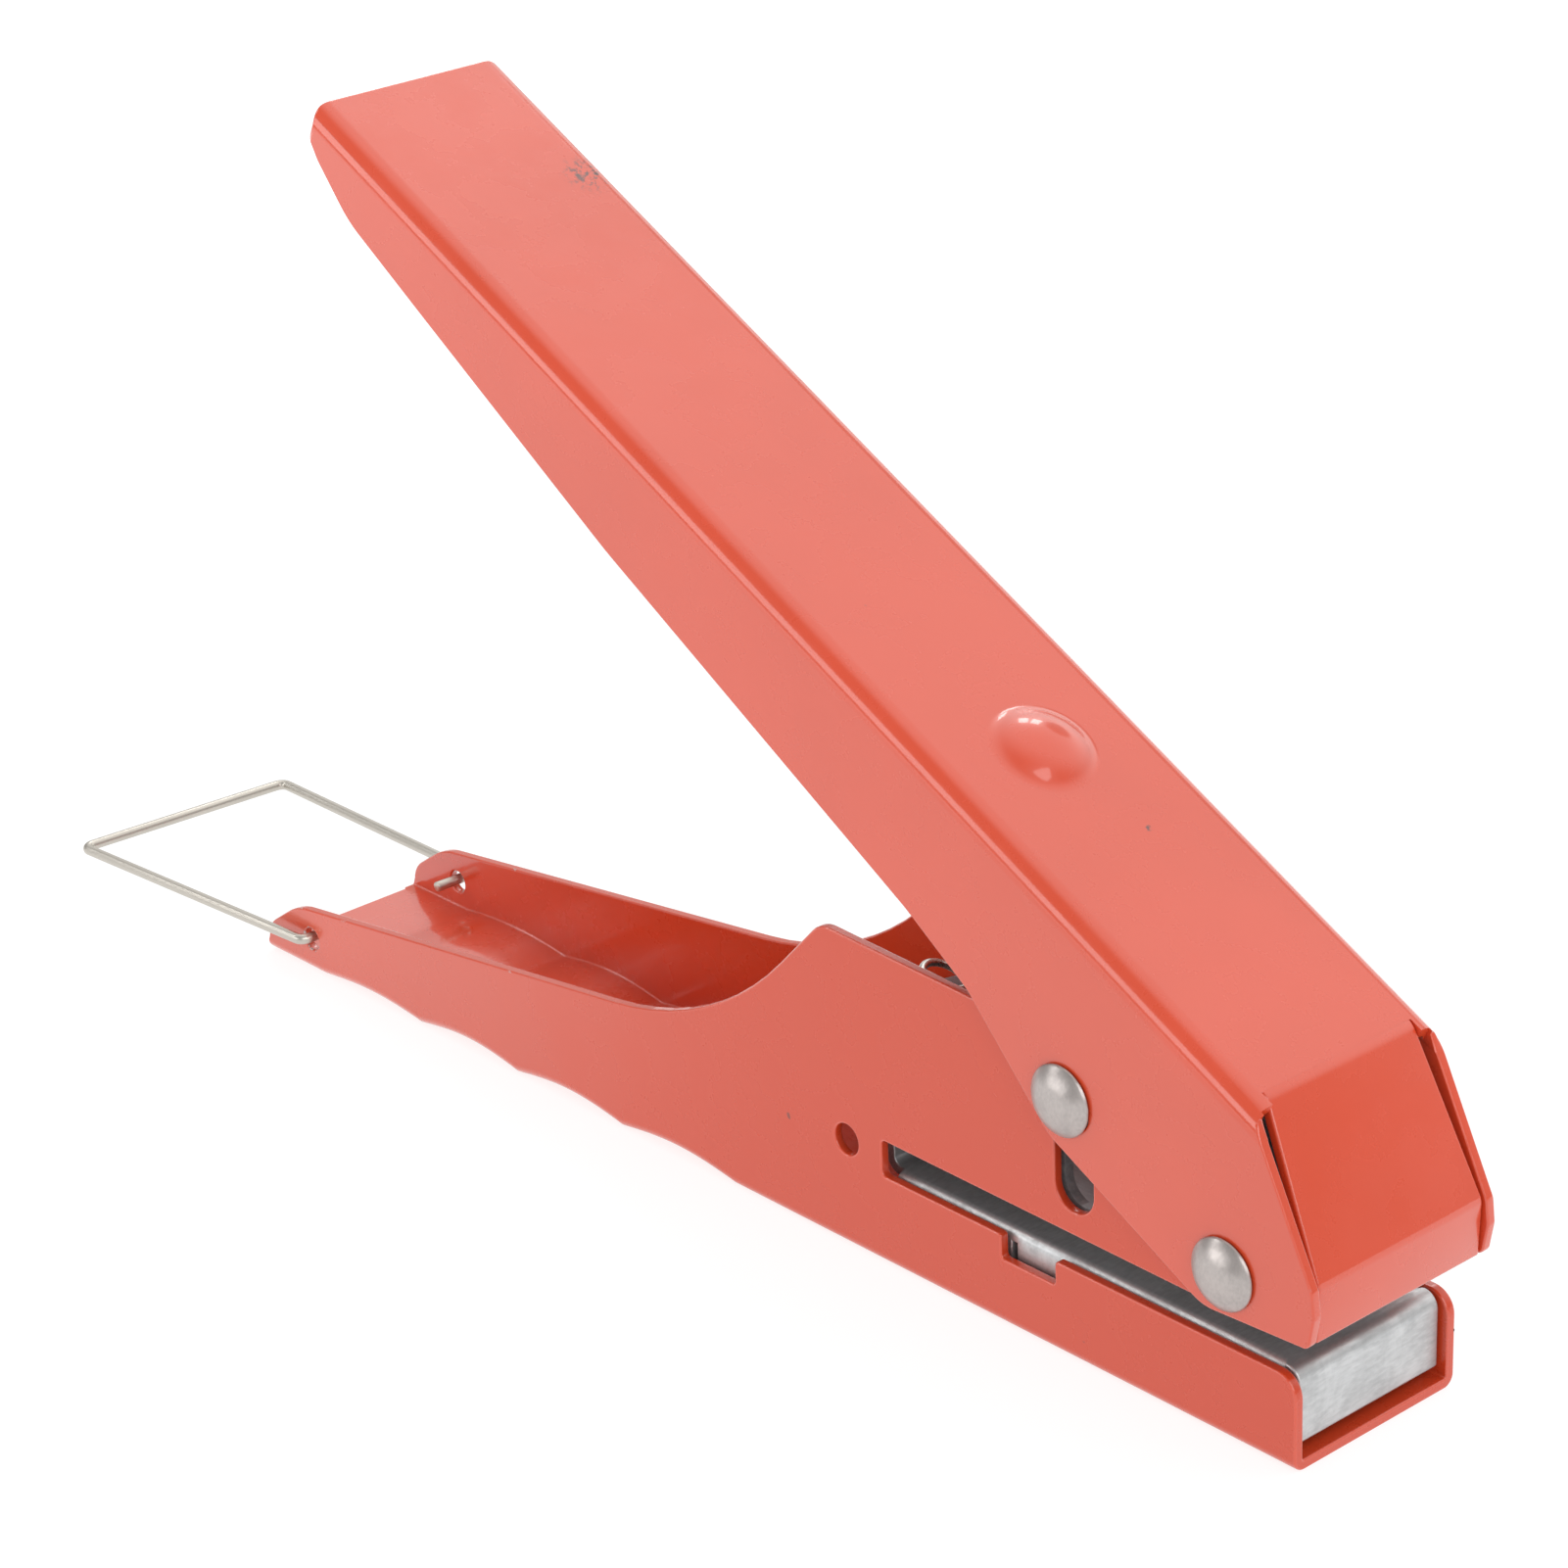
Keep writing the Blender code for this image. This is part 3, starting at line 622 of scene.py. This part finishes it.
def folded_strip(name, top, corners, root, widen, edge):
    """Strip of sheet that leaves a flat plate and folds down.  top is the
    height of the plate, corners the middle line after it as (x, z, radius),
    root the x where the strip comes out of the plate, widen = (x, length,
    from, to) its half width."""
    pts = []
    for i in range(9):
        x = root - 3.0 * (1 - i / 8) ** 1.5
        pts.append(Vector((x, top - SHEET / 2 - 0.02 * (root - x) ** 2)))
    full = [(root, top - SHEET / 2, 0)] + corners
    for i, (x, z, r) in enumerate(full):
        p = Vector((x, z))
        if i == 0:
            continue
        if r <= 0:
            pts.append(p)
            continue
        a = Vector(full[i - 1][:2])
        b = Vector(full[i + 1][:2])
        u, v = (a - p).normalized(), (b - p).normalized()
        half = u.angle(v) / 2
        t = r / math.tan(half)
        centre = p + (u + v).normalized() * (r / math.sin(half))
        start = p + u * t - centre
        end = p + v * t - centre
        turn = math.pi - 2 * half
        for k in range(13):
            f = k / 12
            q = (start * math.sin((1 - f) * turn) + end * math.sin(f * turn)) / math.sin(turn)
            if (centre + q - pts[-1]).length > 0.02:
                pts.append(centre + q)
    last = (pts[-1] - pts[-2]).normalized()
    tip = pts.pop()
    pts += [tip - last * 0.25, tip - last * 0.12, tip - last * 0.03, tip]
    shrink = {len(pts) - 3: 0.02, len(pts) - 2: 0.10, len(pts) - 1: 0.22}
    rings = []
    for i, p in enumerate(pts):
        a = pts[max(i - 1, 0)]
        b = pts[min(i + 1, len(pts) - 1)]
        t = (b - a).normalized()
        n = Vector((-t.y, t.x))
        if n.y < -1e-9 or (abs(n.y) < 1e-9 and n.x < 0):
            n = -n
        if i == 8:
            n = Vector((0.0, 1.0))
        f = min(1.0, max(0.0, (p.x - widen[0]) / widen[1]))
        half = widen[2] + (widen[3] - widen[2]) * f * f * (3 - 2 * f)
        less = shrink.get(i, 0.0)
        rings.append(strip_ring(p, n, half - less, SHEET - 2 * less, edge))
    return loft(name, rings)


def build_lever():
    pin = math.hypot(PIN_X - PIVOT[0], PIN_Z - PIVOT[1])
    ang = math.atan2(PIN_Z - PIVOT[1], PIN_X - PIVOT[0]) + math.radians(OPEN_ANGLE)
    px, pz = pin * math.cos(ang), pin * math.sin(ang)
    rings = [channel_ring(x, LEVER_HALF, -LEVER_TOP, 8.0, -LEVER_TOP + LEVER_BEND,
                          LEVER_BEND, SHEET, flip=-1.0, seg=14)
             for x in (LEVER_TAIL - 2, DIMPLE_X, px + 1.1, 0.0, 12.0)]
    body = loft("lever_shell", rings)
    keep = prism("keep", lever_outline(), -14, 14)
    plan = slab("plan", rounded([
        (LEVER_TAIL, -LEVER_HALF - 0.02, 1.5), (14.0, -LEVER_HALF - 0.02, 0),
        (14.0, LEVER_HALF + 0.02, 0), (LEVER_TAIL, LEVER_HALF + 0.02, 1.5)], 10.0), -12, 20)
    combine(body, [keep, plan], "INTERSECT")
    front = FOLD_X - 0.6
    clear = prism("clear", [(front, 13.2), (14, -6), (14, 20), (front, 20)], -9.15, 9.15)
    sides = [prism("side_clear", [(-4.55, 12.4), (14, -7), (14, 20), (-4.55, 20)],
                   *sorted((sign * 9.1, sign * (FLAP_HALF + 0.25)))) for sign in (-1, 1)]
    # The rivet's path arcs up to 0.22 above a straight line in the lever.
    r, mid = 1.2, pz + 0.06
    drive = [(px + 0.1 - r * math.sin(math.pi * i / 12), mid - r * math.cos(math.pi * i / 12))
             for i in range(13)]
    drive += [(px + 2.0 + r * math.sin(math.pi * i / 12), mid + r * math.cos(math.pi * i / 12))
              for i in range(13)]
    combine(body, [
        clear, *sides,
        prism("hinge_holes", circle(0, 0, SHANK_R + 0.1, 40), -14, 14),
        prism("drive_holes", drive, -14, 14),
        slab("dimple_hole", circle(DIMPLE_X, 0, 6.0, 48), 10, 20),
    ])
    dress(body, red_lever, red_edge)
    soften(body, 0.2, slot=1, skip=lambda m: front - 0.1 < m.x < -3.9 and m.z > 12.0)
    nose = folded_strip("nose", LEVER_TOP, [
        (FOLD_X - 0.2, LEVER_TOP - SHEET / 2, 1.3), (7.1, 5.72, 1.2), (9.3, 0.95, 0)],
        front, (-4.7, 0.5, 9.12, FLAP_HALF + 0.17), 0.3)
    dress(nose, red_lever)

    # The pressed dimple: a dome with a concave fillet, on a thin wide skirt.
    dome_r, crown = 4.6, 1.75
    top = []
    big = (dome_r ** 2 + crown ** 2) / (2 * crown)
    join_a = math.asin(3.9 / big)
    for i in range(13):
        a = join_a * i / 12
        top.append((crown - big * (1 - math.cos(a)), max(0.02, big * math.sin(a))))
    z1, r1 = top[-1]
    slope = math.tan(join_a)
    for i in range(1, 13):
        f = i / 12
        # Cubic that leaves the dome with its slope and lands flat on the plate.
        h00, h10, h01 = 2 * f ** 3 - 3 * f ** 2 + 1, f ** 3 - 2 * f ** 2 + f, -2 * f ** 3 + 3 * f ** 2
        span = 1.3
        top.append((h00 * z1 + h10 * (-slope * span) + h01 * 0.004, r1 + span * f))
    top += [(0.004, 5.6), (0.004, 6.6), (0.002, 7.2)]
    profile = [(LEVER_TOP + z, rr) for z, rr in top]
    profile += [(LEVER_TOP - 0.5, 7.2)]
    profile += [(LEVER_TOP + z - SHEET, rr) for z, rr in reversed(top[:-3])]
    dimple = turned("dimple", DIMPLE_X, 0, profile, n=96, axis="Z")
    dress(dimple, red_lever)
    join(body, [nose, dimple])
    return place(body, "lever", LEVER_TO_ROW, "red_paint", "lever")


# ----------------------------------------------------------------- die side
def build_die():
    rings = [channel_ring(x, DIE_HALF, -DIE_TOP, -1.35, -DIE_TOP + DIE_BEND, DIE_BEND, SHEET * 0.999,
                          flip=-1.0, seg=6) for x in (-49.2, PIN_X, -2.3)]
    body = loft("die_plate", rings)
    slits = []
    for x in (NOTCH[0] + 0.05, NOTCH[1] - 0.65):
        slits.append(loft("slit", [[(xx, y, z) for y, z in ((-12, -3), (12, -3), (12, 7.7), (-12, 7.7))]
                                   for xx in (x, x + 0.6)]))
    hole = turned("hole", PIN_X, 0, [(3.0, 4.8), (12.0, 4.8)], axis="Z", n=64)
    combine(body, slits + [hole])
    lip = rounded([
        (-46.0, DIE_TOP, 0), (DIE_REAR + SHEET, DIE_TOP, 0.8),
        (DIE_REAR + SHEET, 12.0, 0), (DIE_REAR, 12.0, 0), (DIE_REAR, DIE_TOP - SHEET, 1.6),
        (-46.0, DIE_TOP - SHEET, 0)], 8.0)
    combine(body, [prism("lip", lip, -7.75, 7.75)], "UNION")
    dress(body, zinc)
    soften(body, 0.16, skip=lambda m: abs(m.x + 2.3) < 0.05 or -46.2 > m.x > -49.6)
    nose = folded_strip("die_nose", DIE_TOP, [
        (DIE_FRONT - SHEET / 2, DIE_TOP - SHEET / 2, 1.0), (DIE_FRONT - SHEET / 2, 1.75, 0)],
        -2.3, (-3.1, 0.8, 7.78, DIE_HALF), 0.25)
    dress(nose, zinc)
    join(body, [nose])
    return place(body, "frame", TO_ROW, "zinc_steel", "die_channel")


# ------------------------------------------------------------------ rivets
def head_profile(y0, r, h):
    """Snap head from its seat outwards: short land, soft rim, shallow dome."""
    rows = [(y0, r - 0.28), (y0 + 0.04, r - 0.1), (y0 + 0.16, r), (y0 + 0.30, r - 0.03),
            (y0 + 0.42, r - 0.14)]
    rise = h - 0.42
    rr = ((r - 0.14) ** 2 + rise ** 2) / (2 * rise)
    a0 = math.asin((r - 0.14) / rr)
    for i in range(1, 14):
        a = a0 * (1 - i / 14)
        rows.append((y0 + 0.42 + rr * math.cos(a) - (rr - rise), rr * math.sin(a)))
    rows.append((y0 + h, 0.05))
    return rows


def build_rivet(name, cx, cz, shank, body, node):
    y0 = LEVER_HALF + 0.05
    far = head_profile(y0, HEAD_R, 13.2 - y0)
    near = [(-y, r) for y, r in reversed(far)]
    rivet = turned(name, cx, cz, near + [(-y0, shank), (y0, shank)] + far, n=96)
    dress(rivet, nickel)
    return place(rivet, body, TO_ROW, "nickel_plate", node)


# ------------------------------------------------------------ spring, bail
def build_spring():
    a = math.radians(OPEN_ANGLE)
    top = Vector((PIVOT[0] + DIMPLE_X * math.cos(a) + (LEVER_TOP - 1.4) * math.sin(a), 0,
                  PIVOT[1] - DIMPLE_X * math.sin(a) + (LEVER_TOP - 1.4) * math.cos(a)))
    foot = Vector((SPRING_FOOT[0], 0, SPRING_FOOT[1]))
    up = (top - foot).normalized()
    side = Vector((0, 1, 0))
    cross = up.cross(side)
    length = (top - foot).length
    pts = []
    steps = 40
    closed = 1.0
    lead = 0.86
    lean_up = Vector((0, 0, 1))
    for i in range(SPRING_TURNS * steps + 1):
        turn = i / steps
        if turn < closed:
            h = lead * turn
        elif turn > SPRING_TURNS - closed:
            h = length - lead * (SPRING_TURNS - turn)
        else:
            f = (turn - closed) / (SPRING_TURNS - 2 * closed)
            h = lead * closed + (length - 2 * lead * closed) * f
        ang = 2 * math.pi * (turn + 0.1)
        f = min(1.0, max(0.0, (h - 1.0) / 10.0))
        axis_x = cross.lerp(lean_up.cross(side), 1 - f).normalized()
        centre = foot + up * h
        pts.append(centre + side * SPRING_R * math.cos(ang) + axis_x * SPRING_R * math.sin(ang))
    spring = wire("spring_coil", pts, 0.38, sides=12)
    dress(spring, drawn)
    place(spring, "frame", TO_ROW, "spring_wire", "return_spring")
    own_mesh(spring)
    return spring


def build_bail():
    px, pz = BAIL_PIVOT
    path = bend_path([
        ((px, -BAIL_TIP_Y, pz), 0), ((px, -BAIL_ARM_Y, pz), 0.9),
        ((BAIL_NEAR[0], BAIL_NEAR[1], BAIL_BAR_Z), 1.5),
        ((BAIL_FAR[0], BAIL_FAR[1], BAIL_BAR_Z), 1.5),
        ((px, BAIL_ARM_Y, pz), 0.9), ((px, BAIL_TIP_Y, pz), 0)])
    bail = wire("bail_loop", path, BAIL_WIRE_R + 0.05, sides=20)
    dress(bail, nickel_wire)
    return place(bail, "bail", TO_ROW, "nickel_plate", "bail_wire")


build_frame()
build_lever()
build_die()
build_rivet("hinge_rivet", *PIVOT, SHANK_R, "frame", "pivot_rivet")
build_rivet("link_rivet", PIN_X, PIN_Z, 0.9, "punch", "drive_rivet")
build_spring()
build_bail()

nodes = frame["nodes"]
# The parts inside get the darker galvanised copy: painted shade.
dress(nodes["punch_guide"], zinc_shaded)
dress(nodes["pivot_spacer"], zinc_shaded)
dress(nodes["spring_peg"], nickel)
for name in ("die_button", "punch", "drive_roller_near", "drive_roller_far"):
    dress(nodes[name], ground)


# ------------------------------------------------------------------- stage
def build_floor():
    bm = bmesh.new()
    n = 40
    size = 3.2
    grid = [[bm.verts.new(((i / n - 0.5) * 2 * size, (j / n - 0.5) * 2 * size, 0.0))
             for j in range(n + 1)] for i in range(n + 1)]
    for i in range(n):
        for j in range(n):
            bm.faces.new((grid[i][j], grid[i + 1][j], grid[i + 1][j + 1], grid[i][j + 1]))
    floor = new_object("floor", bm)
    m = Nodes("floor_white")
    m.set(Base_Color=(0.24, 0.24, 0.24, 1.0), Emission_Color=(1.0, 1.0, 1.0, 1.0),
          Specular_IOR_Level=0.0)
    # A lit table that glows dimmer close to the tool: painted shade where the tool's shadow falls, brighter away
    # from it.
    away = m.tree.nodes.new("ShaderNodeVectorMath")
    away.operation = "LENGTH"
    m.link(m.coord.outputs["Object"], away.inputs[0])
    m.link(m.ramp(away.outputs["Value"], 0.13, 0.50, 0.825, 1.15), m.bsdf.inputs["Emission Strength"])
    m.link(m.ramp(m.noise(30.0, 3.0), 0.3, 0.7, 0.55, 0.7), m.bsdf.inputs["Roughness"])
    dress(floor, m.mat)


def softbox(name, direction, distance, width, height, radiance, target=(0.0, 0.0, 0.03)):
    """Area light that faces the tool from a direction, with its radiance."""
    lamp = bpy.data.lights.new(name, "AREA")
    lamp.shape = "RECTANGLE"
    lamp.size = width
    lamp.size_y = height
    lamp.energy = radiance * math.pi * width * height
    obj = bpy.data.objects.new(name, lamp)
    bpy.context.scene.collection.objects.link(obj)
    d = Vector(direction).normalized()
    obj.location = Vector(target) + d * distance
    obj.rotation_euler = (-d).to_track_quat("-Z", "Y").to_euler()
    return obj


def build_light():
    world = bpy.data.worlds.new("studio")
    bpy.context.scene.world = world
    world.use_nodes = True
    tree = world.node_tree
    background = tree.nodes["Background"]
    background.inputs["Color"].default_value = (1.0, 0.995, 0.985, 1.0)
    # A broad soft panel over and behind the tool fades into a greyer room.
    coord = tree.nodes.new("ShaderNodeTexCoord")
    dot = tree.nodes.new("ShaderNodeVectorMath")
    dot.operation = "DOT_PRODUCT"
    dot.inputs[1].default_value = Vector((-0.06, 0.60, 0.80)).normalized()
    fade = tree.nodes.new("ShaderNodeMapRange")
    fade.interpolation_type = "SMOOTHSTEP"
    fade.inputs["From Min"].default_value = 0.45
    fade.inputs["From Max"].default_value = 0.86
    fade.inputs["To Min"].default_value = 0.42
    fade.inputs["To Max"].default_value = 1.35
    # A dark stand behind the tool shows in the domed and curved parts.
    aim = tree.nodes.new("ShaderNodeVectorMath")
    aim.operation = "DOT_PRODUCT"
    aim.inputs[1].default_value = Vector((-0.20, 0.825, 0.53)).normalized()
    stand = tree.nodes.new("ShaderNodeMapRange")
    stand.interpolation_type = "SMOOTHSTEP"
    stand.inputs["From Min"].default_value = math.cos(math.radians(13))
    stand.inputs["From Max"].default_value = math.cos(math.radians(8))
    stand.inputs["To Min"].default_value = 1.0
    stand.inputs["To Max"].default_value = 0.4
    both = tree.nodes.new("ShaderNodeMath")
    both.operation = "MULTIPLY"
    tree.links.new(coord.outputs["Generated"], dot.inputs[0])
    tree.links.new(coord.outputs["Generated"], aim.inputs[0])
    tree.links.new(dot.outputs["Value"], fade.inputs["Value"])
    tree.links.new(aim.outputs["Value"], stand.inputs["Value"])
    tree.links.new(fade.outputs["Result"], both.inputs[0])
    tree.links.new(stand.outputs["Result"], both.inputs[1])
    tree.links.new(both.outputs[0], background.inputs["Strength"])
    softbox("softbox_side", (-0.34, -0.90, 0.31), 0.9, 0.9, 0.34, 2.2, (-0.07, 0.0, 0.06))
    softbox("softbox_camera", (0.85, -0.35, 0.55), 2.0, 1.6, 1.3, 2.3)
    softbox("softbox_glint", (-0.688, -0.406, 0.603), 1.3, 0.30, 0.30, 4.5)
    for turn in (-0.085, 0.085):
        softbox("window", (-0.46 + turn * 0.79, 0.60 + turn * 0.61, 0.66), 1.2, 0.15, 0.26, 5.0)


def build_camera():
    cam = bpy.data.cameras.new("camera")
    cam.sensor_width = 36.0
    cam.lens = 104.48262786865234
    cam.clip_start = 0.01
    cam.clip_end = 20.0
    obj = bpy.data.objects.new("camera", cam)
    bpy.context.scene.collection.objects.link(obj)
    right = (0.66997, 0.74152, -0.03588)
    up = (-0.27909, 0.29635, 0.91339)
    back = (0.68793, -0.60193, 0.40550)
    m = Matrix((right, up, back)).transposed().to_4x4()
    m.translation = Vector((0.301583, -0.252365, 0.207493))
    obj.matrix_world = m
    bpy.context.scene.camera = obj


build_floor()
build_light()
build_camera()
bpy.context.scene.view_settings.view_transform = "Standard"
